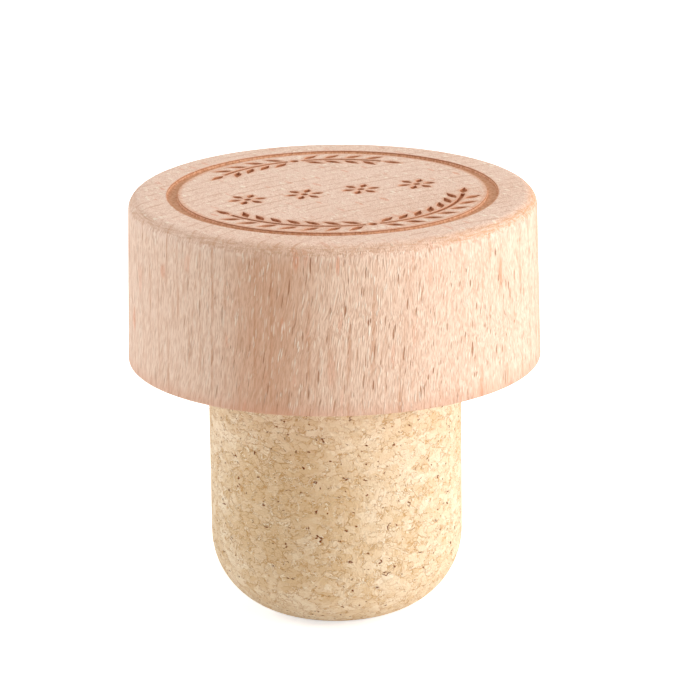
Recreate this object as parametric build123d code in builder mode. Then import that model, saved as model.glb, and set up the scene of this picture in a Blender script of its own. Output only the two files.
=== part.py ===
from build123d import *

import os
from math import degrees, radians, sin

# A T-shaped wine cork: a turned beech cap, engraved on top, glued onto a shank of agglomerated cork.
# It stands upright on the tip of its shank. The origin is the centre of that tip, and +Z runs up
# through the cap. Lengths are in millimetres and angles in degrees.

# Shank
shank_diameter = 19.8
shank_length = 20.5
tip_radius = 6.25

# Root of the shank, squeezed into a tighter socket in the cap, whose mouth is chamfered to take it
root_length = 5.0
root_squeeze = 0.2
root_chamfer = 0.4
glue_line = 0.05
mouth_clearance = 0.1

# Cap
cap_base_diameter = 32.2
cap_top_diameter = 31.6
cap_height = 13.1
top_edge_radius = 1.05
base_edge_chamfer = 0.15

# Engraved ring: a shallow channel with sloping walls, set in from the cap's rim
ring_inset = 2.95
ring_width = 0.9
ring_depth = 0.25
ring_wall_slope = 0.06

# Engraved sprigs that follow the ring: a long one in front and a short one behind
engraving_depth = 0.2
engraving_turn = 17.5
ring_margin = 0.45
stem_width = 0.34
leaf_length = 1.8
leaf_width = 0.6
leaf_belly = 0.75
leaf_spread = 38.0
leaf_clearance = 0.12
leaf_pitch_angle = 9.0
front_pairs = 7
back_pairs = 4
bud_diameter = 0.7
bud_clearance = 0.2

# Row of flowers between the sprigs
flower_count = 4
flower_margin = 0.28
petal_count = 6
petal_length = 1.15
petal_width = 0.58
petal_belly = 0.65
petal_clearance = 0.12
eye_diameter = 0.6

# Heights and radii that the two pieces share
seat_height = shank_length
root_top_height = seat_height + root_length
cap_top_height = seat_height + cap_height
shank_radius = shank_diameter / 2
socket_radius = shank_radius - root_squeeze
socket_chamfer = root_squeeze + mouth_clearance
root_radius = socket_radius - glue_line
root_shoulder = shank_radius - root_radius

# Circles that the engraving follows, each set in from the one outside it
ring_outer_radius = cap_top_diameter / 2 - ring_inset
ring_inner_radius = ring_outer_radius - ring_width
ring_floor_height = cap_top_height - ring_depth
leaf_start = stem_width / 2 + leaf_clearance
leaf_reach = leaf_start + leaf_length * sin(radians(leaf_spread))
stem_radius = ring_inner_radius - ring_margin - leaf_reach
clear_radius = stem_radius - leaf_reach
petal_start = eye_diameter / 2 + petal_clearance
flower_radius = petal_start + petal_length
flower_pitch = 2 * (clear_radius - flower_margin - flower_radius) / (flower_count - 1)


def knife_cut(length, width, belly):
    """A leaf's outline along X from the origin: pointed at both ends, and widest at its belly."""
    with BuildSketch(mode=Mode.PRIVATE) as cut:
        with BuildLine():
            Polyline((0, 0), (belly, -width / 2), (length, 0), (belly, width / 2), close=True)
        make_face()
    return cut.sketch


def sprig_branch(middle, pairs):
    """Adds one branch, counter-clockwise from its bud: a stem, its pairs of leaves and a last leaf."""
    first_pair = middle + leaf_pitch_angle / 2
    last_leaf = first_pair + pairs * leaf_pitch_angle
    stem_start = middle + degrees((bud_diameter / 2 + bud_clearance + stem_width / 2) / stem_radius)
    stem_end = last_leaf - degrees(leaf_start / stem_radius)
    stem = CenterArc((0, 0), stem_radius, stem_start, stem_end - stem_start, mode=Mode.PRIVATE)
    SlotArc(stem, stem_width)
    with PolarLocations(stem_radius, pairs, first_pair, (pairs - 1) * leaf_pitch_angle, endpoint=True):
        for side in (1, -1):
            with Locations(Location((side * leaf_start, 0), 90 - side * leaf_spread)):
                add(leaf)
    with PolarLocations(stem_radius, 1, last_leaf):
        with Locations(Location((0, 0), 90)):
            add(leaf)


# Shank: one profile turned about Z, with a deep rounding at its tip and the squeezed root on top
with BuildPart() as cork_shank:
    with BuildSketch(Plane.XZ):
        with BuildLine():
            FilletPolyline((0, 0), (shank_radius, 0), (shank_radius, seat_height), radius=tip_radius)
            Polyline(
                (shank_radius, seat_height),
                (root_radius, seat_height + root_shoulder),
                (root_radius, root_top_height - root_chamfer),
                (root_radius - root_chamfer, root_top_height),
                (0, root_top_height),
                (0, 0),
            )
        make_face()
    revolve(axis=Axis.Z)

# Outlines that the engraving repeats
leaf = knife_cut(leaf_length, leaf_width, leaf_belly)
petal = knife_cut(petal_length, petal_width, petal_belly)

with BuildPart() as cap:
    # Disc: slightly tapered, with a rounded top rim and a fine chamfer along its base
    with BuildSketch(Plane.XZ):
        with BuildLine():
            Polyline(
                (0, seat_height),
                (cap_base_diameter / 2, seat_height),
                (cap_top_diameter / 2, cap_top_height),
                (0, cap_top_height),
                close=True,
            )
        make_face()
    revolve(axis=Axis.Z)
    rims = cap.edges().filter_by(GeomType.CIRCLE).sort_by(Axis.Z)
    fillet(rims[-1], radius=top_edge_radius)
    chamfer(rims[0], length=base_edge_chamfer)

    # Socket: a blind bore from below, as deep as the root is long, with its mouth chamfered
    with BuildSketch(Plane.XY.offset(seat_height)):
        Circle(socket_radius)
    extrude(amount=root_length, mode=Mode.SUBTRACT)
    socket_mouth = cap.edges().filter_by(GeomType.CIRCLE).sort_by(SortBy.RADIUS).group_by(Axis.Z)[0][0]
    chamfer(socket_mouth, length=socket_chamfer)

    # Ring: one channel turned about Z
    with BuildSketch(Plane.XZ):
        with BuildLine():
            Polyline(
                (ring_inner_radius, cap_top_height),
                (ring_inner_radius + ring_wall_slope, ring_floor_height),
                (ring_outer_radius - ring_wall_slope, ring_floor_height),
                (ring_outer_radius, cap_top_height),
                close=True,
            )
        make_face()
    revolve(axis=Axis.Z, mode=Mode.SUBTRACT)

    # Sprigs and flowers: one half of each sprig is drawn and then mirrored across the engraving
    engraving_plane = Plane.XY.offset(cap_top_height).rotated((0, 0, engraving_turn))
    with BuildSketch(engraving_plane):
        sprig_branch(-90, front_pairs)
        sprig_branch(90, back_pairs)
        mirror(about=Plane.YZ)
        with PolarLocations(stem_radius, 2, start_angle=90):
            Circle(bud_diameter / 2)
        with GridLocations(flower_pitch, 0, flower_count, 1):
            Circle(eye_diameter / 2)
            with PolarLocations(petal_start, petal_count):
                add(petal)
    extrude(amount=-engraving_depth, mode=Mode.SUBTRACT)

os.makedirs("parts", exist_ok=True)
cap.part.label = "cap"
export_step(cap.part, "parts/cap.step")
cork_shank.part.label = "cork_shank"
export_step(cork_shank.part, "parts/cork_shank.step")
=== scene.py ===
import math

import bpy
from mathutils import Matrix, Vector


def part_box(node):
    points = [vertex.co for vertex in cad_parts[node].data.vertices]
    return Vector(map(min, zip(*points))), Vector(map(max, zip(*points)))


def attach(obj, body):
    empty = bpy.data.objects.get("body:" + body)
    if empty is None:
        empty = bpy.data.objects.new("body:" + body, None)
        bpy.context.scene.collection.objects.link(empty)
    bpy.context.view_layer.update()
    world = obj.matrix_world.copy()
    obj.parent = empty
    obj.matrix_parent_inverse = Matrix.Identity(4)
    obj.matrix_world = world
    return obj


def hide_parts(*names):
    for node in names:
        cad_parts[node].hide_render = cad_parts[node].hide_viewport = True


# A T-shaped wine cork: a turned and engraved beech cap on a shank of agglomerated cork.
# It stands on a pale floor. Blender works in metres, so sizes are written as millimetres times MM.
MM = 0.001

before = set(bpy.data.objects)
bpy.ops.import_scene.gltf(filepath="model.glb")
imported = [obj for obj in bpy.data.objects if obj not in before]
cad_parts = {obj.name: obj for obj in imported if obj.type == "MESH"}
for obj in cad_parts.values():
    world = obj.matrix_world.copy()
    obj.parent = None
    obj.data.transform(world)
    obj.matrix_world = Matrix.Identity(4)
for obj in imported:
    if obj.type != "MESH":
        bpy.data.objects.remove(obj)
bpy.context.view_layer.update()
cap_low, cap_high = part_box("cap")
shank_low, shank_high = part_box("cork_shank")

# Sizes read from the frame
tip_height = shank_low.z
seat_height = cap_low.z
cap_top = cap_high.z
root_top = shank_high.z
shank_radius = shank_high.x
cap_base_radius = cap_high.x

# Cap
cap_sides = 360
rim_steps = 10
base_steps = 3
cap_smoothing = math.radians(25)
cap_taper = 0.3 * MM
rim_rounding = 1.026 * MM
base_rounding = 0.15 * MM
socket_radius = 9.7 * MM
socket_chamfer = 0.3 * MM
ring_inset = 2.95 * MM
ring_width = 0.9 * MM
ring_depth = 0.25 * MM
ring_wall = 0.06 * MM

# Engraved sprigs and flowers
engraving_depth = 0.2 * MM
wall_slope = 0.2
scorch_reach = 0.4 * MM
engraving_turn = math.radians(17.5)
ring_margin = 0.45 * MM
stem_width = 0.34 * MM
stem_steps = 60
leaf_length = 1.8 * MM
leaf_width = 0.6 * MM
leaf_belly = 0.75 * MM
belly_steps = 4
leaf_spread = math.radians(38)
leaf_clearance = 0.12 * MM
leaf_pitch = math.radians(9)
front_pairs = 7
back_pairs = 4
bud_radius = 0.35 * MM
dot_sides = 20
bud_clearance = 0.2 * MM
flower_count = 4
flower_margin = 0.28 * MM
petal_count = 6
petal_length = 1.15 * MM
petal_width = 0.58 * MM
petal_belly = 0.65 * MM
petal_clearance = 0.12 * MM
eye_radius = 0.3 * MM

# Circles that the engraving follows, each set in from the one outside it
cap_top_radius = cap_base_radius - cap_taper
rim_start = cap_top_radius - rim_rounding
ring_outer = cap_top_radius - ring_inset
ring_inner = ring_outer - ring_width
leaf_start = stem_width / 2 + leaf_clearance
leaf_reach = leaf_start + leaf_length * math.sin(leaf_spread)
stem_radius = ring_inner - ring_margin - leaf_reach
petal_start = eye_radius + petal_clearance
flower_radius = petal_start + petal_length
flower_pitch = 2 * (stem_radius - leaf_reach - flower_margin - flower_radius) / (flower_count - 1)

# Shank
shank_sides = 400
shank_smoothing = math.radians(40)
tip_rounding = 6.25 * MM
tip_steps = 62
skin_step = 0.155 * MM
root_radius = 9.65 * MM
root_chamfer = 0.4 * MM

# Growth rings of the beech, in millimetres: their lines run at this turn from X, about a pith outside
# the cap. One band of rings is painted darker and warmer as painted shade, from its core out to its reach,
# where the core shadow falls on the side's front left
ring_turn = math.radians(37)
pith_distance = 60
ring_spacing = 1.2
ring_drift = 0.9
shaded_band_radius = 53
shaded_band_core = 0.5
shaded_band_reach = 4.5

# Shares of each ring at which its late wood starts, and at which it is darkest
late_wood_start = 0.72
late_wood_peak = 0.93

# Slow patterns in the beech, as waves in a millimetre along the rings, the rays and the fibres
drift_waves = (0.15, 0.15, 0.03)
break_waves = (0.5, 0.8, 0.25)
patch_waves = (0.35, 0.35, 0.15)
lean_waves = (0.09, 0.09, 0.15)
waver_waves = (1.4, 1.4, 0.9)

# How far the fibres lean and waver in millimetres, and by what turns they lean off the cap's axis
lean_reach = (0.9, 0.9, 0)
waver_reach = (0.18, 0.18, 0)
fibre_lean = (-0.1, -0.05, 0)

# Marks in the beech: each fills part of a block of this size, in millimetres along the growth rings,
# along the rays and along the fibres. A spread is the least and the greatest share of its block that
# half a mark takes
ray_tick = (0.22, 0.22, 2.8)
ray_tick_spread = (0.17, 0.37)
raised_fibre = (0.13, 0.13, 1.3)
raised_fibre_spread = (0.22, 0.5)
torn_end = (0.4, 0.8, 0.4)
torn_end_spread = (0.2, 0.5)
ray_fleck = (0.7, 2.2, 5)
ray_fleck_spread = (0.15, 0.35)
warm_streak = (0.3, 0.3, 5)
rim_rag = (0.13, 0.13, 4)

# Real fibres are about 0.02 mm wide, which is too fine to show, so the fine grain is drawn coarser
fine_fibre = (0.09, 0.09, 0.8)

# Sanded edges of the cap, in millimetres: scratches round the rim, the X from which the rim turns
# golden as painted warm light from the key at the right and where it is fully so, and the height of the
# pinker wood along the lower edge
scratch_width = 0.16
warm_light_start = 4
warm_light_full = 13
pink_height = 1.4

# Scorching, in millimetres: how far it reaches past the ring's channel, and the depths between which
# it starts, the lips' dark edge of char and painted shade fades out and the floor begins. Its speckles are
# waves in a millimetre
scorch_margin = 0.05
scorch_start = (0.01, 0.05)
lip_fade = (0.05, 0.12)
floor_start = (0.2, 0.24)
speckle_waves = 5

# Heights of the fine relief
beech_relief = 0.07 * MM
cork_relief = 0.1 * MM

# Colours of the beech
# the top's end grain, painted paler and less saturated than the sides as painted light from above
end_grain_painted_lit = "#F6DCCC"
side_grain_tan = "#F1D4BE"
late_wood_brown = "#C8916F"
# painted shade: a darker, warmer band on the side, where the core shadow falls
painted_shade_brown = "#D39E7B"
streak_brown = "#C98F6E"
fleck_salmon = "#E29C7B"
fibre_shade = "#B98360"
# painted highlight on the raised fibres
fibre_highlight = "#FFF1DF"
tick_brown = "#A46B44"
rim_tan = "#C99C7C"
# painted warm light: the rim's colour on its right, the key light's side
rim_warm_lit = "#CB8F58"
lower_pink = "#D89C7E"

# Colours of the scorched engraving
toast_light = "#EBBD9B"
toast_dark = "#BF7F56"
channel_floor = "#B0704A"
# char and painted shade along the channel's walls just under its lips
lip_char_and_shade = "#9C5B34"
stroke_light = "#C68863"
stroke_dark = "#A2623F"
halo_tan = "#D79A74"

# Cork: sizes of its granules in millimetres, and how much flatter they are than wide
granule_size = 1.4
small_granule_size = 0.6
granule_flatness = 1.3

# Cork: how far its granules bend and curl in millimetres, and its patterns as waves in a millimetre
bend_reach = (1.2,) * 3
curl_reach = (0.45,) * 3
bend_waves = 0.8
curl_waves = 2.6
cloud_waves = 0.22
gap_waves = 1.7
flake_waves = 0.75
pit_waves = 1.9

# Real cork cells are about 0.04 mm across, which is too fine to show, so they are drawn coarser
cell_waves = 6

# Cork: the middle of a painted shade that darkens the granules in the shank's front left, where the core
# shadow falls, and how far it reaches
painted_shade_centre = (-3.5 * MM, -10 * MM, 10.5 * MM)
painted_shade_core = 2 * MM
painted_shade_reach = 9 * MM

# Colours of the cork
granule_cream = "#F8E5C9"
granule_tan = "#E2C399"
outline_ochre = "#C08942"
# painted highlight on the lips along one side of each curl
lip_highlight = "#FFF2DA"
pit_brown = "#7A3A06"

# Studio: the floor card, its glow for the camera, the even light from all round and the soft boxes
floor_size = 2000 * MM
paper_glow = 0.62
room_light = 0.34
softbox_distance = 600 * MM
softbox_size = 400 * MM

# Camera: it looks along +Y and down, from about a third of a metre
camera_distance = 319.36 * MM
camera_elevation = math.radians(17)
camera_roll = math.radians(0.689)
camera_target = Vector((0, 0, (cap_top + seat_height) / 2))
camera_right = 1.206 * MM
camera_up = -5.993 * MM
focal_length = 211.2
sensor_width = 36


def linear(code):
    """A colour written as sRGB hex, as the linear values that a shader takes."""
    channels = [int(code[i:i + 2], 16) / 255 for i in (1, 3, 5)]
    return (*[c / 12.92 if c <= 0.04045 else ((c + 0.055) / 1.055) ** 2.4 for c in channels], 1)


def deselect_everything():
    """Leaves edit mode and clears the selection, so that the next operator acts on its own piece."""
    if bpy.context.object and bpy.context.object.mode != "OBJECT":
        bpy.ops.object.mode_set(mode="OBJECT")
    bpy.ops.object.select_all(action="DESELECT")


def name_new(name):
    """Names the primitive that was just added, and puts its place into its mesh."""
    piece = bpy.context.object
    piece.name = name
    bpy.ops.object.transform_apply(location=True, rotation=True, scale=True)
    return piece


def choose(piece, kind, wanted):
    """Goes into edit mode with only those vertices, edges or faces selected whose middle is wanted."""
    bpy.ops.object.mode_set(mode="OBJECT")
    mesh = piece.data
    for part in (*mesh.vertices, *mesh.edges, *mesh.polygons):
        part.select = False
    if kind == "VERT":
        for vertex in mesh.vertices:
            vertex.select = wanted(vertex.co)
    elif kind == "EDGE":
        for edge in mesh.edges:
            start, end = (mesh.vertices[i].co for i in edge.vertices)
            edge.select = wanted((start + end) / 2)
    else:
        for face in mesh.polygons:
            face.select = wanted(face.center)
    bpy.context.tool_settings.mesh_select_mode = (kind == "VERT", kind == "EDGE", kind == "FACE")
    bpy.ops.object.mode_set(mode="EDIT")


def near(value, target, slack=0.001 * MM):
    """True if a height or a radius is the one that is meant."""
    return abs(value - target) < slack


def in_middle(point):
    """True for the middle of a face that lies across the axis."""
    return math.hypot(point.x, point.y) < 0.1 * MM


def add_node(tree, kind, inputs=None, **settings):
    """Adds a node with its settings. Each input is a plain value or the socket that feeds it.
    Inputs go by name or by number: a Map Range takes values from 1 to 2 and gives them from 3 to 4, and
    a Mix goes from 2 to 3 between numbers and from 6 to 7 between colours."""
    node = tree.nodes.new(kind)
    for name, value in settings.items():
        setattr(node, name, value)
    for name, value in (inputs or {}).items():
        if isinstance(value, bpy.types.NodeSocket):
            tree.links.new(value, node.inputs[name])
        else:
            node.inputs[name].default_value = value
    return node


def turn_cap():
    """Turns the cap from a cylinder: taper, rounded rim, ring channel and socket."""
    deselect_everything()
    bpy.ops.mesh.primitive_cylinder_add(
        vertices=cap_sides,
        radius=cap_base_radius,
        depth=cap_top - seat_height,
        end_fill_type="NGON",
        location=(0, 0, (cap_top + seat_height) / 2),
    )
    cap = name_new("turned_cap")
    choose(cap, "VERT", lambda v: near(v.z, cap_top))
    taper = cap_top_radius / cap_base_radius
    bpy.ops.transform.resize(value=(taper, taper, 1))
    choose(cap, "EDGE", lambda e: near(e.z, cap_top))
    bpy.ops.mesh.bevel(offset=rim_rounding, segments=rim_steps, affect="EDGES")
    choose(cap, "EDGE", lambda e: near(e.z, seat_height))
    bpy.ops.mesh.bevel(offset=base_rounding, segments=base_steps, affect="EDGES")

    # Ring channel, from its outer edge to its inner edge
    choose(cap, "FACE", lambda f: near(f.z, cap_top) and in_middle(f))
    bpy.ops.mesh.inset(thickness=rim_start - ring_outer)
    bpy.ops.mesh.inset(thickness=ring_wall, depth=-ring_depth)
    bpy.ops.mesh.inset(thickness=ring_width - 2 * ring_wall)
    bpy.ops.mesh.inset(thickness=ring_wall, depth=ring_depth)

    # Socket, with its chamfered mouth
    choose(cap, "FACE", lambda f: near(f.z, seat_height) and in_middle(f))
    bpy.ops.mesh.inset(thickness=cap_base_radius - base_rounding - socket_radius - socket_chamfer)
    bpy.ops.mesh.inset(thickness=socket_chamfer, depth=-socket_chamfer)
    bpy.ops.mesh.extrude_region_move(
        TRANSFORM_OT_translate={"value": (0, 0, root_top - seat_height - socket_chamfer)}
    )
    deselect_everything()
    return cap


def slope_walls(cutter):
    """Narrows a cutter's lower end and widens its upper one by a share of its size, so that the walls
    of its cut slope."""
    for level, share in ((-engraving_depth, 1 - wall_slope), (engraving_depth, 1 + wall_slope)):
        choose(cutter, "VERT", lambda v: near(v.z, level))
        bpy.ops.transform.resize(value=(share, share, 1))
    deselect_everything()


def add_blade(name, length, width, belly):
    """A cutter for one leaf or petal, along X from the origin: pointed ends and a rounded belly."""
    deselect_everything()
    bpy.ops.mesh.primitive_cylinder_add(
        vertices=4, radius=length / 2, depth=2 * engraving_depth, end_fill_type="NGON"
    )
    blade = name_new(name)
    choose(blade, "VERT", lambda v: True)
    bpy.ops.transform.translate(value=(length / 2, 0, 0))
    choose(blade, "VERT", lambda v: abs(v.y) > length / 4)
    bpy.ops.transform.translate(value=(belly - length / 2, 0, 0))
    choose(blade, "EDGE", lambda e: abs(e.y) > length * 0.45)
    bpy.ops.mesh.bevel(offset=length / 4, segments=belly_steps, affect="EDGES")
    choose(blade, "VERT", lambda v: True)
    half_width = max(v.co.y for v in blade.data.vertices)
    bpy.ops.transform.resize(value=(1, width / 2 / half_width, 1))
    slope_walls(blade)
    return blade


def add_dot(name, radius):
    """A round cutter, for a bud or for the eye of a flower."""
    deselect_everything()
    bpy.ops.mesh.primitive_cylinder_add(
        vertices=dot_sides, radius=radius, depth=2 * engraving_depth, end_fill_type="NGON"
    )
    dot = name_new(name)
    slope_walls(dot)
    return dot


def place_copy(model, turn, place):
    """A copy of a cutter with its own mesh, turned about Z and then moved to its place on the cap's top."""
    copy = model.copy()
    copy.data = model.data.copy()
    bpy.context.collection.objects.link(copy)
    copy.data.transform(Matrix.Translation((place.x, place.y, cap_top)) @ Matrix.Rotation(turn, 4, "Z"))
    return copy


def on_circle(radius, angle):
    """A point in plan, at a radius and at an angle that is measured in the engraving's own turn."""
    return Vector((radius, 0, 0)) @ Matrix.Rotation(-angle - engraving_turn, 3, "Z")


def cut_stem(start, end):
    """A cutter for one stem: a small upright face, spun about the cap's axis, with square ends."""
    deselect_everything()
    bpy.ops.mesh.primitive_plane_add(size=1, rotation=(math.radians(90), 0, 0))
    bpy.context.object.scale = (stem_width, 2 * engraving_depth, 1)
    stem = name_new("stem_cut")
    slope_walls(stem)
    stem.data.transform(Matrix.Translation((stem_radius, 0, cap_top)))
    stem.data.transform(Matrix.Rotation(end + engraving_turn, 4, "Z"))
    choose(stem, "VERT", lambda v: True)
    bpy.ops.mesh.spin(steps=stem_steps, angle=end - start, center=(0, 0, cap_top), axis=(0, 0, 1))
    bpy.ops.mesh.select_all(action="SELECT")
    bpy.ops.mesh.normals_make_consistent(inside=False)
    deselect_everything()
    return stem


def cut_sprig(leaf, middle, pairs):
    """The cutters for one sprig: two branches that mirror each other about its bud."""
    cuts = []
    stem_start = (bud_radius + bud_clearance) / stem_radius
    stem_end = leaf_pitch / 2 + pairs * leaf_pitch - leaf_clearance / stem_radius
    for side in (1, -1):
        ends = sorted(middle + side * angle for angle in (stem_start, stem_end))
        cuts.append(cut_stem(*ends))
        for pair in range(pairs + 1):
            angle = middle + side * (leaf_pitch / 2 + pair * leaf_pitch)
            along = angle + engraving_turn + side * math.radians(90)
            if pair == pairs:
                cuts.append(place_copy(leaf, along, on_circle(stem_radius, angle)))
                continue
            for hand in (1, -1):
                place = on_circle(stem_radius + hand * leaf_start, angle)
                cuts.append(place_copy(leaf, along - side * hand * leaf_spread, place))
    return cuts


def cut_flowers(petal, eye):
    """The cutters for the row of flowers, each an eye with its petals round it."""
    cuts = []
    for number in range(flower_count):
        offset = (number - (flower_count - 1) / 2) * flower_pitch
        centre = on_circle(offset, 0)
        cuts.append(place_copy(eye, 0, centre))
        for step in range(petal_count):
            turn = 2 * math.pi * step / petal_count + engraving_turn
            start = centre + Vector((math.cos(turn), math.sin(turn), 0)) * petal_start
            cuts.append(place_copy(petal, turn, start))
    return cuts


def engrave(cap):
    """Cuts the sprigs and the flowers into the cap's top."""
    leaf = add_blade("leaf_cut", leaf_length, leaf_width, leaf_belly)
    petal = add_blade("petal_cut", petal_length, petal_width, petal_belly)
    bud = add_dot("bud_cut", bud_radius)
    eye = add_dot("eye_cut", eye_radius)
    front, back = math.radians(-90), math.radians(90)
    cuts = cut_sprig(leaf, front, front_pairs) + cut_sprig(leaf, back, back_pairs) + cut_flowers(petal, eye)
    cuts += [place_copy(bud, 0, on_circle(stem_radius, angle)) for angle in (front, back)]
    deselect_everything()
    for cut in cuts:
        cut.select_set(True)
    bpy.context.view_layer.objects.active = cuts[0]
    bpy.ops.object.join()
    deselect_everything()
    engraving = cap.modifiers.new("engraving", "BOOLEAN")
    engraving.operation = "DIFFERENCE"
    engraving.solver = "EXACT"
    engraving.object = cuts[0]
    bpy.context.view_layer.objects.active = cap
    bpy.ops.object.modifier_apply(modifier=engraving.name)
    for cutter in (leaf, petal, bud, eye, cuts[0]):
        bpy.data.objects.remove(cutter)
    cap.select_set(True)
    bpy.ops.object.shade_smooth_by_angle(angle=cap_smoothing)


def mould_shank():
    """Shapes the shank from a cylinder: deep rounding at its tip, fine skin mesh, and its root."""
    deselect_everything()
    bpy.ops.mesh.primitive_cylinder_add(
        vertices=shank_sides,
        radius=shank_radius,
        depth=seat_height - tip_height,
        end_fill_type="NGON",
        location=(0, 0, (seat_height + tip_height) / 2),
    )
    shank = name_new("moulded_shank")
    choose(shank, "EDGE", lambda e: near(e.z, tip_height))
    bpy.ops.mesh.bevel(offset=tip_rounding, segments=tip_steps, affect="EDGES")
    straight_middle = (tip_height + tip_rounding + seat_height) / 2
    choose(shank, "EDGE", lambda e: near(e.z, straight_middle))
    bpy.ops.mesh.subdivide(number_cuts=round((seat_height - tip_rounding) / skin_step))

    # Flat of the tip: rings of faces down to a small middle
    choose(shank, "FACE", lambda f: near(f.z, tip_height) and in_middle(f))
    flat_radius = shank_radius - tip_rounding
    for _ in range(int(flat_radius / skin_step) - 1):
        bpy.ops.mesh.inset(thickness=skin_step)
    bpy.ops.mesh.poke()

    # Root: a sloping shoulder, a straight stretch and a chamfer
    shoulder = shank_radius - root_radius
    choose(shank, "FACE", lambda f: near(f.z, seat_height) and in_middle(f))
    bpy.ops.mesh.inset(thickness=shoulder, depth=shoulder)
    bpy.ops.mesh.extrude_region_move(
        TRANSFORM_OT_translate={"value": (0, 0, root_top - seat_height - shoulder - root_chamfer)}
    )
    bpy.ops.mesh.inset(thickness=root_chamfer, depth=root_chamfer)
    deselect_everything()
    shank.select_set(True)
    bpy.context.view_layer.objects.active = shank
    bpy.ops.object.shade_smooth_by_angle(angle=shank_smoothing)
    return shank


def new_material(name):
    """An empty material with its surface output, and the tree that its nodes go into."""
    material = bpy.data.materials.new(name)
    material.use_nodes = True
    material.node_tree.nodes.clear()
    return material, material.node_tree


def grow_rings(tree, grain):
    """Growth rings about a pith outside the cap. Gives how dark the late wood is, and the ring's radius."""
    drift_field = add_node(
        tree, "ShaderNodeMapping", {"Vector": grain, "Scale": drift_waves}
    ).outputs[0]
    drift = add_node(
        tree, "ShaderNodeTexNoise", {"Vector": drift_field, "Scale": 1, "Detail": 2}
    ).outputs[0]
    from_pith = add_node(
        tree, "ShaderNodeMapping", {"Vector": grain, "Location": (0, pith_distance, 0), "Scale": (1, 1, 0)}
    ).outputs[0]
    radius = add_node(tree, "ShaderNodeVectorMath", {0: from_pith}, operation="LENGTH").outputs["Value"]
    drifted = add_node(
        tree, "ShaderNodeMath", {0: drift, 1: ring_drift, 2: radius}, operation="MULTIPLY_ADD"
    ).outputs[0]
    rings = add_node(tree, "ShaderNodeMath", {0: drifted, 1: ring_spacing}, operation="DIVIDE").outputs[0]
    phase = add_node(tree, "ShaderNodeMath", {0: rings}, operation="FRACT").outputs[0]
    darkening = add_node(
        tree,
        "ShaderNodeMapRange",
        {0: phase, 1: late_wood_start, 2: late_wood_peak},
        interpolation_type="SMOOTHSTEP",
    ).outputs[0]
    ending = add_node(
        tree,
        "ShaderNodeMapRange",
        {0: phase, 1: late_wood_peak, 2: 1, 3: 1, 4: 0},
        interpolation_type="SMOOTHSTEP",
    ).outputs[0]
    line = add_node(tree, "ShaderNodeMath", {0: darkening, 1: ending}, operation="MULTIPLY").outputs[0]
    break_field = add_node(
        tree, "ShaderNodeMapping", {"Vector": grain, "Scale": break_waves}
    ).outputs[0]
    breaks = add_node(
        tree, "ShaderNodeTexNoise", {"Vector": break_field, "Scale": 1, "Detail": 2}
    ).outputs[0]
    kept = add_node(tree, "ShaderNodeMapRange", {0: breaks, 1: 0.38, 2: 0.62, 3: 0.05, 4: 1}).outputs[0]
    late_wood = add_node(tree, "ShaderNodeMath", {0: line, 1: kept}, operation="MULTIPLY").outputs[0]
    return late_wood, drifted


def run_fibres(tree, grain):
    """Bends the grain's straight lines, so that streaks lean and fibres waver as they rise."""
    lean_field = add_node(
        tree, "ShaderNodeMapping", {"Vector": grain, "Scale": lean_waves}
    ).outputs[0]
    lean = add_node(
        tree, "ShaderNodeTexNoise", {"Vector": lean_field, "Scale": 1, "Detail": 1}
    ).outputs["Color"]
    leaning = add_node(
        tree, "ShaderNodeVectorMath", {0: lean, 1: lean_reach, 2: grain}, operation="MULTIPLY_ADD"
    ).outputs[0]
    waver_field = add_node(
        tree, "ShaderNodeMapping", {"Vector": grain, "Scale": waver_waves}
    ).outputs[0]
    waver = add_node(
        tree, "ShaderNodeTexNoise", {"Vector": waver_field, "Scale": 1, "Detail": 2}
    ).outputs["Color"]
    wavering = add_node(
        tree, "ShaderNodeVectorMath", {0: waver, 1: waver_reach, 2: leaning}, operation="MULTIPLY_ADD"
    ).outputs[0]
    return add_node(tree, "ShaderNodeMapping", {"Vector": wavering, "Rotation": fibre_lean}).outputs[0]


def sow_ticks(tree, fibre_run, block, spread):
    """Short upright ticks, about one at random in each block of the wood, some strong and most faint.
    Half a tick takes a share of its block, from the least to the greatest of the spread."""
    field = add_node(
        tree, "ShaderNodeMapping", {"Vector": fibre_run, "Scale": [1 / size for size in block]}
    ).outputs[0]
    tick = add_node(tree, "ShaderNodeTexVoronoi", {"Vector": field, "Scale": 1})
    sort = add_node(tree, "ShaderNodeSeparateColor", {0: tick.outputs["Color"]}).outputs
    size = add_node(tree, "ShaderNodeMapRange", {0: sort[0], 3: spread[0], 4: spread[1]}).outputs[0]
    reach = add_node(
        tree, "ShaderNodeMath", {0: tick.outputs["Distance"], 1: size}, operation="DIVIDE"
    ).outputs[0]
    shape = add_node(tree, "ShaderNodeMapRange", {0: reach, 1: 0.6, 2: 1, 3: 1, 4: 0}).outputs[0]
    strength = add_node(tree, "ShaderNodeMapRange", {0: sort[1], 1: 0.1, 2: 0.9}).outputs[0]
    return add_node(tree, "ShaderNodeMath", {0: shape, 1: strength}, operation="MULTIPLY").outputs[0]


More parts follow.
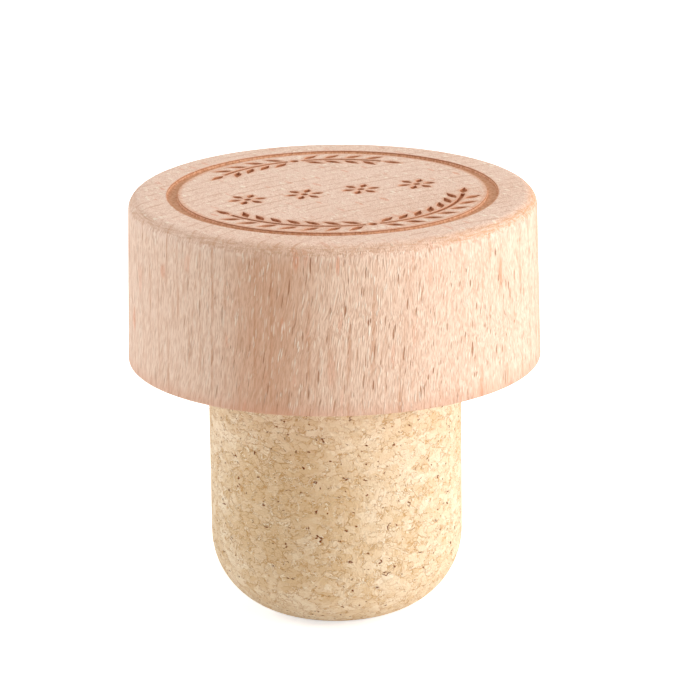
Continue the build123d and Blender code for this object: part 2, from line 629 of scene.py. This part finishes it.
def colour_wood(tree, grain, fibre_run, on_side):
    """Plain wood: the top's end grain painted paler as painted light, late wood, a darker warmer band of
    painted shade, streaks and ray flecks.
    """
    # Painted light: the top's end grain is paler and less saturated than the sides, as the light from above
    # falls on it
    early_wood = add_node(
        tree,
        "ShaderNodeMix",
        {0: on_side, 6: linear(end_grain_painted_lit), 7: linear(side_grain_tan)},
        data_type="RGBA",
    ).outputs[2]
    late_wood, ring_radius = grow_rings(tree, grain)
    late_share = add_node(tree, "ShaderNodeMath", {0: late_wood, 1: 0.6}, operation="MULTIPLY").outputs[0]
    ringed = add_node(
        tree, "ShaderNodeMix", {0: late_share, 6: early_wood, 7: linear(late_wood_brown)}, data_type="RGBA"
    ).outputs[2]
    # Painted shade: a darker, warmer band of rings on the side, where the core shadow falls on its front
    # left
    off_shaded_band = add_node(
        tree, "ShaderNodeMath", {0: ring_radius, 1: shaded_band_radius}, operation="SUBTRACT"
    ).outputs[0]
    to_shaded_band = add_node(tree, "ShaderNodeMath", {0: off_shaded_band}, operation="ABSOLUTE").outputs[0]
    near_shaded_band = add_node(
        tree,
        "ShaderNodeMapRange",
        {0: to_shaded_band, 1: shaded_band_core, 2: shaded_band_reach, 3: 0.6, 4: 0},
        interpolation_type="SMOOTHSTEP",
    ).outputs[0]
    painted_shade_share = add_node(
        tree, "ShaderNodeMath", {0: near_shaded_band, 1: on_side}, operation="MULTIPLY"
    ).outputs[0]
    shade_painted = add_node(
        tree, "ShaderNodeMix", {0: painted_shade_share, 6: ringed, 7: linear(painted_shade_brown)}, data_type="RGBA"
    ).outputs[2]
    streak_field = add_node(
        tree, "ShaderNodeMapping", {"Vector": fibre_run, "Scale": [1 / size for size in warm_streak]}
    ).outputs[0]
    streaks = add_node(
        tree, "ShaderNodeTexNoise", {"Vector": streak_field, "Scale": 1, "Detail": 2, "Roughness": 0.6}
    ).outputs[0]
    streak_share = add_node(
        tree, "ShaderNodeMapRange", {0: streaks, 1: 0.5, 2: 0.75, 3: 0, 4: 0.4}
    ).outputs[0]
    streaked = add_node(
        tree, "ShaderNodeMix", {0: streak_share, 6: shade_painted, 7: linear(streak_brown)}, data_type="RGBA"
    ).outputs[2]
    flecks = sow_ticks(tree, fibre_run, ray_fleck, ray_fleck_spread)
    fleck_share = add_node(tree, "ShaderNodeMath", {0: flecks, 1: 0.6}, operation="MULTIPLY").outputs[0]
    return add_node(
        tree, "ShaderNodeMix", {0: fleck_share, 6: streaked, 7: linear(fleck_salmon)}, data_type="RGBA"
    ).outputs[2]


def open_grain(tree, grain, fibre_run, on_side, depth, from_axis, plain):
    """Fine grain over the plain wood, with raised fibres painted lighter as a painted highlight of the
    light they catch, and dark ray ends, both boldest on the flat-sawn sides. Gives the colour and the
    height of the relief."""
    fine_field = add_node(
        tree, "ShaderNodeMapping", {"Vector": fibre_run, "Scale": [1 / size for size in fine_fibre]}
    ).outputs[0]
    fine = add_node(
        tree, "ShaderNodeTexNoise", {"Vector": fine_field, "Scale": 1, "Detail": 1}
    ).outputs[0]
    fine_share = add_node(
        tree, "ShaderNodeMapRange", {0: fine, 1: 0.37, 2: 0.58, 3: 0.42, 4: 0}
    ).outputs[0]
    grained = add_node(
        tree, "ShaderNodeMix", {0: fine_share, 6: plain, 7: linear(fibre_shade)}, data_type="RGBA"
    ).outputs[2]

    # Where fibres were raised, and painted lighter as a highlight: in patches, most of all on the flat-sawn
    # sides and under the rim
    patch_field = add_node(
        tree, "ShaderNodeMapping", {"Vector": grain, "Scale": patch_waves}
    ).outputs[0]
    patches = add_node(
        tree, "ShaderNodeTexNoise", {"Vector": patch_field, "Scale": 1, "Detail": 1}
    ).outputs[0]
    patch_share = add_node(
        tree, "ShaderNodeMapRange", {0: patches, 1: 0.4, 2: 0.6, 3: 0.5, 4: 1}
    ).outputs[0]
    across = add_node(tree, "ShaderNodeSeparateXYZ", {0: grain}).outputs["Y"]
    facing = add_node(tree, "ShaderNodeMath", {0: across, 1: from_axis}, operation="DIVIDE").outputs[0]
    turned_away = add_node(tree, "ShaderNodeMath", {0: facing}, operation="ABSOLUTE").outputs[0]
    flat_sawn = add_node(
        tree, "ShaderNodeMapRange", {0: turned_away, 1: 0.1, 2: 0.7, 3: 0.25, 4: 0.85}
    ).outputs[0]
    open_share = add_node(
        tree, "ShaderNodeMath", {0: patch_share, 1: flat_sawn, 2: 0.15}, operation="MULTIPLY_ADD"
    ).outputs[0]
    under_rim = add_node(tree, "ShaderNodeMapRange", {0: depth, 1: 1.2, 2: 3, 3: 1, 4: 0}).outputs[0]
    lifted = add_node(tree, "ShaderNodeMath", {0: open_share, 1: under_rim}, operation="MAXIMUM").outputs[0]

    raised = sow_ticks(tree, fibre_run, raised_fibre, raised_fibre_spread)
    torn = sow_ticks(tree, fibre_run, torn_end, torn_end_spread)
    side_lift = add_node(tree, "ShaderNodeMath", {0: raised, 1: lifted}, operation="MULTIPLY").outputs[0]
    top_lift = add_node(tree, "ShaderNodeMath", {0: torn, 1: patch_share}, operation="MULTIPLY").outputs[0]
    raised_share = add_node(
        tree, "ShaderNodeMix", {0: on_side, 2: top_lift, 3: side_lift}
    ).outputs[0]
    # Painted highlight: the raised fibres are lightened to pale cream, for the light they catch
    lit = add_node(
        tree, "ShaderNodeMix", {0: raised_share, 6: grained, 7: linear(fibre_highlight)}, data_type="RGBA"
    ).outputs[2]
    ticks = sow_ticks(tree, fibre_run, ray_tick, ray_tick_spread)
    shown = add_node(tree, "ShaderNodeMath", {0: flat_sawn, 1: on_side}, operation="MULTIPLY").outputs[0]
    seen_ticks = add_node(tree, "ShaderNodeMath", {0: ticks, 1: shown}, operation="MULTIPLY").outputs[0]
    rayed = add_node(
        tree, "ShaderNodeMix", {0: seen_ticks, 6: lit, 7: linear(tick_brown)}, data_type="RGBA"
    ).outputs[2]

    rough = add_node(
        tree, "ShaderNodeMath", {0: raised_share, 1: 0.9, 2: fine}, operation="MULTIPLY_ADD"
    ).outputs[0]
    height = add_node(
        tree, "ShaderNodeMath", {0: ticks, 1: -0.8, 2: rough}, operation="MULTIPLY_ADD"
    ).outputs[0]
    return rayed, height


def rub_rim(tree, fibre_run, spot, depth, from_axis, wood):
    """The rounded rim, where the side's fibres end: tan, more golden at the right as painted warm light
    from the key, scratched along its round, and with a ragged lower edge."""
    past_flat = add_node(
        tree, "ShaderNodeMath", {0: from_axis, 1: rim_start / MM}, operation="SUBTRACT"
    ).outputs[0]
    round_rim = add_node(tree, "ShaderNodeMath", {0: past_flat, 1: depth}, operation="ADD").outputs[0]
    rag_field = add_node(
        tree, "ShaderNodeMapping", {"Vector": fibre_run, "Scale": [1 / size for size in rim_rag]}
    ).outputs[0]
    rag = add_node(tree, "ShaderNodeTexNoise", {"Vector": rag_field, "Scale": 1, "Detail": 3}).outputs[0]
    ragged = add_node(
        tree, "ShaderNodeMath", {0: rag, 1: -2, 2: round_rim}, operation="MULTIPLY_ADD"
    ).outputs[0]
    rim_begin = add_node(
        tree, "ShaderNodeMapRange", {0: round_rim, 1: 0.2, 2: 0.9}, interpolation_type="SMOOTHSTEP"
    ).outputs[0]
    rim_end = add_node(
        tree,
        "ShaderNodeMapRange",
        {0: ragged, 1: 0.5, 2: 0.85, 3: 1, 4: 0},
        interpolation_type="SMOOTHSTEP",
    ).outputs[0]
    rim = add_node(tree, "ShaderNodeMath", {0: rim_begin, 1: rim_end}, operation="MULTIPLY").outputs[0]
    scratch_field = add_node(
        tree, "ShaderNodeCombineXYZ", {"X": spot["X"], "Y": spot["Y"], "Z": round_rim}
    ).outputs[0]
    scratch_run = add_node(
        tree, "ShaderNodeMapping", {"Vector": scratch_field, "Scale": (0.9, 0.9, 1 / scratch_width)}
    ).outputs[0]
    scratches = add_node(
        tree, "ShaderNodeTexNoise", {"Vector": scratch_run, "Scale": 1, "Detail": 2}
    ).outputs[0]
    scratch_share = add_node(
        tree, "ShaderNodeMapRange", {0: scratches, 1: 0.35, 2: 0.65, 3: 0.15, 4: 0.7}
    ).outputs[0]
    rim_share = add_node(
        tree, "ShaderNodeMath", {0: rim, 1: scratch_share}, operation="MULTIPLY"
    ).outputs[0]
    # Painted light: the rim turns golden towards +X, where the warm key light falls
    warm_lit_share = add_node(
        tree,
        "ShaderNodeMapRange",
        {0: spot["X"], 1: warm_light_start, 2: warm_light_full},
        interpolation_type="SMOOTHSTEP",
    ).outputs[0]
    rim_colour = add_node(
        tree, "ShaderNodeMix", {0: warm_lit_share, 6: linear(rim_tan), 7: linear(rim_warm_lit)}, data_type="RGBA"
    ).outputs[2]
    return add_node(
        tree, "ShaderNodeMix", {0: rim_share, 6: wood, 7: rim_colour}, data_type="RGBA"
    ).outputs[2]


def scorch_engraving(tree, grain, depth, from_axis, wood):
    """Browns what the engraving cut, by its depth below the cap's top in millimetres: the ring's channel,
    darkest at its lips with char and painted shade under them, the strokes of the sprigs and flowers, and a
    warm halo on the wood beside them."""
    speckle = add_node(
        tree, "ShaderNodeTexNoise", {"Vector": grain, "Scale": speckle_waves, "Detail": 3}
    ).outputs[0]
    speckle_share = add_node(
        tree, "ShaderNodeMapRange", {0: speckle, 1: 0.38, 2: 0.62, 3: 0, 4: 0.7}
    ).outputs[0]
    toast = add_node(
        tree,
        "ShaderNodeMix",
        {0: speckle_share, 6: linear(toast_light), 7: linear(toast_dark)},
        data_type="RGBA",
    ).outputs[2]
    floor_share = add_node(
        tree, "ShaderNodeMapRange", {0: depth, 1: floor_start[0], 2: floor_start[1], 3: 0, 4: 0.3}
    ).outputs[0]
    floored = add_node(
        tree, "ShaderNodeMix", {0: floor_share, 6: toast, 7: linear(channel_floor)}, data_type="RGBA"
    ).outputs[2]
    # Partly char and partly painted shade: the walls just under the lips are darkened, where their shadow
    # falls
    lip_share = add_node(
        tree, "ShaderNodeMapRange", {0: depth, 1: lip_fade[0], 2: lip_fade[1], 3: 0.9, 4: 0}
    ).outputs[0]
    channel = add_node(
        tree, "ShaderNodeMix", {0: lip_share, 6: floored, 7: linear(lip_char_and_shade)}, data_type="RGBA"
    ).outputs[2]
    stroke = add_node(
        tree,
        "ShaderNodeMix",
        {0: speckle_share, 6: linear(stroke_light), 7: linear(stroke_dark)},
        data_type="RGBA",
    ).outputs[2]
    channel_middle = (ring_outer + ring_inner) / 2 / MM
    off_middle = add_node(
        tree, "ShaderNodeMath", {0: from_axis, 1: channel_middle}, operation="SUBTRACT"
    ).outputs[0]
    to_middle = add_node(tree, "ShaderNodeMath", {0: off_middle}, operation="ABSOLUTE").outputs[0]
    channel_reach = ring_width / 2 / MM + scorch_margin
    in_channel = add_node(
        tree, "ShaderNodeMath", {0: to_middle, 1: channel_reach}, operation="LESS_THAN"
    ).outputs[0]
    char = add_node(
        tree, "ShaderNodeMix", {0: in_channel, 6: stroke, 7: channel}, data_type="RGBA"
    ).outputs[2]

    # Only the engraving is browned: inside the ring, and no deeper than twice its channel
    inside = add_node(
        tree, "ShaderNodeMath", {0: from_axis, 1: ring_outer / MM + scorch_margin}, operation="LESS_THAN"
    ).outputs[0]
    shallow = add_node(
        tree, "ShaderNodeMath", {0: depth, 1: 2 * ring_depth / MM}, operation="LESS_THAN"
    ).outputs[0]
    cut = add_node(tree, "ShaderNodeMath", {0: inside, 1: shallow}, operation="MULTIPLY").outputs[0]
    thin_wood = add_node(
        tree,
        "ShaderNodeAmbientOcclusion",
        {"Distance": scorch_reach},
        inside=True,
        only_local=True,
        samples=8,
    ).outputs["AO"]
    halo = add_node(
        tree,
        "ShaderNodeMapRange",
        {0: thin_wood, 1: 0.98, 2: 0.8, 3: 0, 4: 0.55},
        interpolation_type="SMOOTHSTEP",
    ).outputs[0]
    halo_share = add_node(tree, "ShaderNodeMath", {0: halo, 1: cut}, operation="MULTIPLY").outputs[0]
    warmed = add_node(
        tree, "ShaderNodeMix", {0: halo_share, 6: wood, 7: linear(halo_tan)}, data_type="RGBA"
    ).outputs[2]
    deep = add_node(
        tree,
        "ShaderNodeMapRange",
        {0: depth, 1: scorch_start[0], 2: scorch_start[1]},
        interpolation_type="SMOOTHSTEP",
    ).outputs[0]
    burnt = add_node(tree, "ShaderNodeMath", {0: deep, 1: cut}, operation="MULTIPLY").outputs[0]
    return add_node(tree, "ShaderNodeMix", {0: burnt, 6: warmed, 7: char}, data_type="RGBA").outputs[2]


def sanded_beech():
    """Raw beech, turned and sanded: matt and pinkish tan, with a close grain, faint growth rings, small
    salmon ray flecks, and short dark ray ends and raised fibres, boldest on its flat-sawn sides.
    The solid pattern runs through the wood, so end grain and sides meet as they do in a real block.
    It also carries painted light: a paler top, painted shade in a darker band on the side's front left,
    painted highlights on the raised fibres and painted warm light on the rim's right."""
    material, tree = new_material("sanded_beech")
    place = add_node(tree, "ShaderNodeTexCoord").outputs["Object"]
    # Grain axes in millimetres: X along the growth rings, Y along the rays, Z along the fibres
    grain = add_node(
        tree, "ShaderNodeMapping", {"Vector": place, "Rotation": (0, 0, -ring_turn), "Scale": (1 / MM,) * 3}
    ).outputs[0]
    fibre_run = run_fibres(tree, grain)

    # The point on the cap, its depth below the top and its distance from the axis, in millimetres
    in_mm = add_node(tree, "ShaderNodeMapping", {"Vector": place, "Scale": (1 / MM,) * 3}).outputs[0]
    spot = add_node(tree, "ShaderNodeSeparateXYZ", {0: in_mm}).outputs
    depth = add_node(
        tree, "ShaderNodeMath", {0: cap_top / MM, 1: spot["Z"]}, operation="SUBTRACT"
    ).outputs[0]
    in_plan = add_node(tree, "ShaderNodeMapping", {"Vector": in_mm, "Scale": (1, 1, 0)}).outputs[0]
    from_axis = add_node(tree, "ShaderNodeVectorMath", {0: in_plan}, operation="LENGTH").outputs["Value"]
    on_side = add_node(tree, "ShaderNodeMapRange", {0: depth, 1: 0.2, 2: 1.5, 3: 0.2, 4: 1}).outputs[0]

    plain = colour_wood(tree, grain, fibre_run, on_side)
    rayed, height = open_grain(tree, grain, fibre_run, on_side, depth, from_axis, plain)
    rimmed = rub_rim(tree, fibre_run, spot, depth, from_axis, rayed)

    # Pinker wood along the lower edge
    cap_height = (cap_top - seat_height) / MM
    low = add_node(
        tree,
        "ShaderNodeMapRange",
        {0: depth, 1: cap_height - pink_height, 2: cap_height, 3: 0, 4: 0.4},
        interpolation_type="SMOOTHSTEP",
    ).outputs[0]
    wood = add_node(
        tree, "ShaderNodeMix", {0: low, 6: rimmed, 7: linear(lower_pink)}, data_type="RGBA"
    ).outputs[2]

    surface = scorch_engraving(tree, grain, depth, from_axis, wood)
    relief = add_node(
        tree, "ShaderNodeBump", {"Height": height, "Strength": 0.8, "Distance": beech_relief}
    ).outputs[0]
    shader = add_node(
        tree,
        "ShaderNodeBsdfPrincipled",
        {
            "Base Color": surface,
            "Roughness": 0.72,
            "IOR": 1.45,
            "Specular IOR Level": 0.3,
            "Normal": relief,
        },
    ).outputs[0]
    add_node(tree, "ShaderNodeOutputMaterial", {"Surface": shader})
    return material


def colour_granules(tree, place, in_mm, curled):
    """Colours of the granules: each has its own tone, in slow clouds, and they are darker round one spot as
    painted shade.
    """
    large = add_node(tree, "ShaderNodeTexVoronoi", {"Vector": curled, "Scale": 1 / granule_size})
    small = add_node(tree, "ShaderNodeTexVoronoi", {"Vector": curled, "Scale": 1 / small_granule_size})
    large_tone = add_node(tree, "ShaderNodeSeparateColor", {0: large.outputs["Color"]}).outputs[0]
    small_tone = add_node(tree, "ShaderNodeSeparateColor", {0: small.outputs["Color"]}).outputs[0]
    granule_tone = add_node(
        tree, "ShaderNodeMath", {0: large_tone, 1: small_tone}, operation="ADD"
    ).outputs[0]
    cloud = add_node(
        tree, "ShaderNodeTexNoise", {"Vector": in_mm, "Scale": cloud_waves, "Detail": 4}
    ).outputs[0]
    tone = add_node(
        tree, "ShaderNodeMath", {0: cloud, 1: 1.4, 2: granule_tone}, operation="MULTIPLY_ADD"
    ).outputs[0]
    # Painted shade: the granules darken round one spot in the shank's front left, where the core shadow
    # falls
    off_painted_shade = add_node(
        tree, "ShaderNodeVectorMath", {0: place, 1: painted_shade_centre}, operation="DISTANCE"
    ).outputs["Value"]
    painted_shade_mask = add_node(
        tree,
        "ShaderNodeMapRange",
        {0: off_painted_shade, 1: painted_shade_core, 2: painted_shade_reach, 3: 0.9, 4: 0},
        interpolation_type="SMOOTHSTEP",
    ).outputs[0]
    shaded_tone = add_node(tree, "ShaderNodeMath", {0: tone, 1: painted_shade_mask}, operation="ADD").outputs[0]
    tone_share = add_node(
        tree, "ShaderNodeMapRange", {0: shaded_tone, 1: 0.8, 2: 3.1, 3: 0, 4: 1.2}, clamp=False
    ).outputs[0]
    return add_node(
        tree,
        "ShaderNodeMix",
        {0: tone_share, 6: linear(granule_cream), 7: linear(granule_tan)},
        data_type="RGBA",
    ).outputs[2]


def edge_granules(tree, in_mm, curled, small_edge):
    """Outlines: edges of the granules and curling flakes, broken where they were pressed flush. Gives
    the outlines, and the lips along one side of each curl, which are painted highlights."""
    gaps = add_node(
        tree, "ShaderNodeTexNoise", {"Vector": in_mm, "Scale": gap_waves, "Detail": 2}
    ).outputs[0]
    gap_share = add_node(tree, "ShaderNodeMapRange", {0: gaps, 1: 0.4, 2: 0.56}).outputs[0]
    large_edge = add_node(
        tree,
        "ShaderNodeTexVoronoi",
        {"Vector": curled, "Scale": 1 / granule_size},
        feature="DISTANCE_TO_EDGE",
    ).outputs["Distance"]
    large_line = add_node(
        tree, "ShaderNodeMapRange", {0: large_edge, 1: 0.008, 2: 0.035, 3: 1, 4: 0}
    ).outputs[0]
    small_line = add_node(
        tree, "ShaderNodeMapRange", {0: small_edge, 1: 0.01, 2: 0.06, 3: 0.85, 4: 0}
    ).outputs[0]
    flake = add_node(
        tree, "ShaderNodeTexNoise", {"Vector": curled, "Scale": flake_waves, "Detail": 3, "Roughness": 0.6}
    ).outputs[0]
    off_curl = add_node(tree, "ShaderNodeMath", {0: flake, 1: 0.5}, operation="SUBTRACT").outputs[0]
    to_curl = add_node(tree, "ShaderNodeMath", {0: off_curl}, operation="ABSOLUTE").outputs[0]
    curl_line = add_node(
        tree, "ShaderNodeMapRange", {0: to_curl, 1: 0.002, 2: 0.011, 3: 1, 4: 0}
    ).outputs[0]
    edges = add_node(
        tree, "ShaderNodeMath", {0: large_line, 1: small_line}, operation="MAXIMUM"
    ).outputs[0]
    lines = add_node(tree, "ShaderNodeMath", {0: edges, 1: curl_line}, operation="MAXIMUM").outputs[0]
    broken = add_node(tree, "ShaderNodeMath", {0: lines, 1: gap_share}, operation="MULTIPLY").outputs[0]

    # Painted highlight: a pale lip along one side of each curl
    lip = add_node(tree, "ShaderNodeMapRange", {0: off_curl, 1: 0.011, 2: 0.02}).outputs[0]
    lip_end = add_node(
        tree, "ShaderNodeMapRange", {0: off_curl, 1: 0.02, 2: 0.04, 3: 1, 4: 0}
    ).outputs[0]
    highlit_lips = add_node(tree, "ShaderNodeMath", {0: lip, 1: lip_end}, operation="MULTIPLY").outputs[0]
    lip_share = add_node(tree, "ShaderNodeMath", {0: highlit_lips, 1: gap_share}, operation="MULTIPLY").outputs[0]
    return broken, lip_share


def ground_cork():
    """Agglomerated cork: pale granules pressed and glued together, then ground round. Matt and dry,
    with curling broken ochre outlines between the granules, pale lips along them as painted highlights,
    and dark pits where bark or glue tore out. The front left is painted darker as painted shade."""
    material, tree = new_material("ground_cork")
    place = add_node(tree, "ShaderNodeTexCoord").outputs["Object"]
    # Millimetres, with the granules a little flatter than they are wide
    in_mm = add_node(
        tree, "ShaderNodeMapping", {"Vector": place, "Scale": (1 / MM, 1 / MM, granule_flatness / MM)}
    ).outputs[0]
    bend = add_node(
        tree, "ShaderNodeTexNoise", {"Vector": in_mm, "Scale": bend_waves, "Detail": 2}
    ).outputs["Color"]
    bent = add_node(
        tree, "ShaderNodeVectorMath", {0: bend, 1: bend_reach, 2: in_mm}, operation="MULTIPLY_ADD"
    ).outputs[0]
    curl = add_node(
        tree, "ShaderNodeTexNoise", {"Vector": in_mm, "Scale": curl_waves, "Detail": 2}
    ).outputs["Color"]
    curled = add_node(
        tree, "ShaderNodeVectorMath", {0: curl, 1: curl_reach, 2: bent}, operation="MULTIPLY_ADD"
    ).outputs[0]
    small_edge = add_node(
        tree,
        "ShaderNodeTexVoronoi",
        {"Vector": curled, "Scale": 1 / small_granule_size},
        feature="DISTANCE_TO_EDGE",
    ).outputs["Distance"]

    granules = colour_granules(tree, place, in_mm, curled)
    broken, lip_share = edge_granules(tree, in_mm, curled, small_edge)
    line_share = add_node(tree, "ShaderNodeMath", {0: broken, 1: 0.7}, operation="MULTIPLY").outputs[0]
    outlined = add_node(
        tree, "ShaderNodeMix", {0: line_share, 6: granules, 7: linear(outline_ochre)}, data_type="RGBA"
    ).outputs[2]
    # Painted highlight: the pale lips
    lipped = add_node(
        tree, "ShaderNodeMix", {0: lip_share, 6: outlined, 7: linear(lip_highlight)}, data_type="RGBA"
    ).outputs[2]

    # Dark pits, wedge-shaped where granules meet, mostly 0.1 to 0.3 mm across
    pit_field = add_node(
        tree, "ShaderNodeTexNoise", {"Vector": in_mm, "Scale": pit_waves, "Detail": 1}
    ).outputs[0]
    pit_core = add_node(tree, "ShaderNodeMapRange", {0: pit_field, 1: 0.685, 2: 0.705}).outputs[0]
    pit_reach = add_node(
        tree, "ShaderNodeMapRange", {0: small_edge, 1: 0.04, 2: 0.16, 3: 1, 4: 0}
    ).outputs[0]
    pits = add_node(tree, "ShaderNodeMath", {0: pit_core, 1: pit_reach}, operation="MULTIPLY").outputs[0]
    pitted = add_node(
        tree, "ShaderNodeMix", {0: pits, 6: lipped, 7: linear(pit_brown)}, data_type="RGBA"
    ).outputs[2]

    # Relief: sunk outlines and a cellular roughness
    cells = add_node(
        tree, "ShaderNodeTexNoise", {"Vector": in_mm, "Scale": cell_waves, "Detail": 2}
    ).outputs[0]
    sunk = add_node(
        tree, "ShaderNodeMath", {0: broken, 1: -0.3, 2: cells}, operation="MULTIPLY_ADD"
    ).outputs[0]
    relief = add_node(
        tree, "ShaderNodeBump", {"Height": sunk, "Strength": 0.9, "Distance": cork_relief}
    ).outputs[0]
    shader = add_node(
        tree,
        "ShaderNodeBsdfPrincipled",
        {
            "Base Color": pitted,
            "Roughness": 0.85,
            "IOR": 1.4,
            "Specular IOR Level": 0.25,
            "Normal": relief,
        },
    ).outputs[0]
    add_node(tree, "ShaderNodeOutputMaterial", {"Surface": shader})
    return material


def sees_backdrop(tree):
    """Tells the rays that meet the white backdrop: the camera's own, and reflected or refracted ones."""
    path = add_node(tree, "ShaderNodeLightPath").outputs
    mirrored = add_node(
        tree, "ShaderNodeMath", {0: path["Is Camera Ray"], 1: path["Is Glossy Ray"]}, operation="MAXIMUM"
    ).outputs[0]
    return add_node(
        tree, "ShaderNodeMath", {0: mirrored, 1: path["Is Transmission Ray"]}, operation="MAXIMUM"
    ).outputs[0]


def studio_floor():
    """Matt white card, which keeps the cork's shadow. The camera sees it as white paper."""
    material, tree = new_material("white_card")
    card = add_node(tree, "ShaderNodeBsdfDiffuse", {"Color": linear("#FCFCFC")}).outputs[0]
    sight = sees_backdrop(tree)
    glow = add_node(
        tree, "ShaderNodeEmission", {"Color": linear("#FFFFFF"), "Strength": paper_glow}
    ).outputs[0]
    lit = add_node(tree, "ShaderNodeAddShader", {0: card, 1: glow}).outputs[0]
    seen = add_node(tree, "ShaderNodeMixShader", {0: sight, 1: card, 2: lit}).outputs[0]
    add_node(tree, "ShaderNodeOutputMaterial", {"Surface": seen})
    return material


def studio_world():
    """Even, slightly warm light from all round, with a white backdrop for the camera."""
    world = bpy.data.worlds.new("studio")
    world.use_nodes = True
    tree = world.node_tree
    tree.nodes.clear()
    sight = sees_backdrop(tree)
    even = add_node(
        tree, "ShaderNodeBackground", {"Color": linear("#FFF3E2"), "Strength": room_light}
    ).outputs[0]
    white = add_node(
        tree, "ShaderNodeBackground", {"Color": linear("#FFFFFF"), "Strength": 1}
    ).outputs[0]
    seen = add_node(tree, "ShaderNodeMixShader", {0: sight, 1: even, 2: white}).outputs[0]
    add_node(tree, "ShaderNodeOutputWorld", {"Surface": seen})
    return world


def add_softbox(name, azimuth, elevation, power, colour):
    """A square soft box that faces the cork. Azimuth 0 is in front of it, and 90 is at its right."""
    turn, rise = math.radians(azimuth), math.radians(elevation)
    away = Vector((math.sin(turn) * math.cos(rise), -math.cos(turn) * math.cos(rise), math.sin(rise)))
    light = bpy.data.lights.new(name, "AREA")
    light.size = softbox_size
    light.energy = power
    light.color = linear(colour)[:3]
    lamp = bpy.data.objects.new(name, light)
    bpy.context.collection.objects.link(lamp)
    lamp.location = camera_target + away * softbox_distance
    lamp.rotation_euler = away.to_track_quat("Z", "Y").to_euler()


cap = turn_cap()
engrave(cap)
shank = mould_shank()
cap.data.materials.append(sanded_beech())
shank.data.materials.append(ground_cork())
for piece, node_name, slot_name in ((cap, "cap", "beech"), (shank, "cork_shank", "agglomerated_cork")):
    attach(piece, "root")
    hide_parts(node_name)

deselect_everything()
bpy.ops.mesh.primitive_plane_add(size=floor_size)
floor = bpy.context.object
floor.name = "floor"
floor.data.materials.append(studio_floor())

add_softbox("key", 70, 7, 3.85, "#FCFDFF")
add_softbox("high_side", 90, 40, 1.0, "#FFFFFF")
add_softbox("fill", -100, 15, 2.15, "#ECF5FF")
add_softbox("top", 0, 88, 1.03, "#FFFFFF")
bpy.context.scene.world = studio_world()

camera = bpy.data.objects.new("camera", bpy.data.cameras.new("camera"))
bpy.context.collection.objects.link(camera)
bpy.context.scene.camera = camera
camera.data.lens = focal_length
camera.data.sensor_width = sensor_width
looking = Matrix.Rotation(math.radians(90) - camera_elevation, 3, "X")
camera.location = camera_target + looking @ Vector((camera_right, camera_up, camera_distance))
camera.rotation_euler = (looking @ Matrix.Rotation(-camera_roll, 3, "Z")).to_euler()
bpy.context.scene.view_settings.view_transform = "Standard"
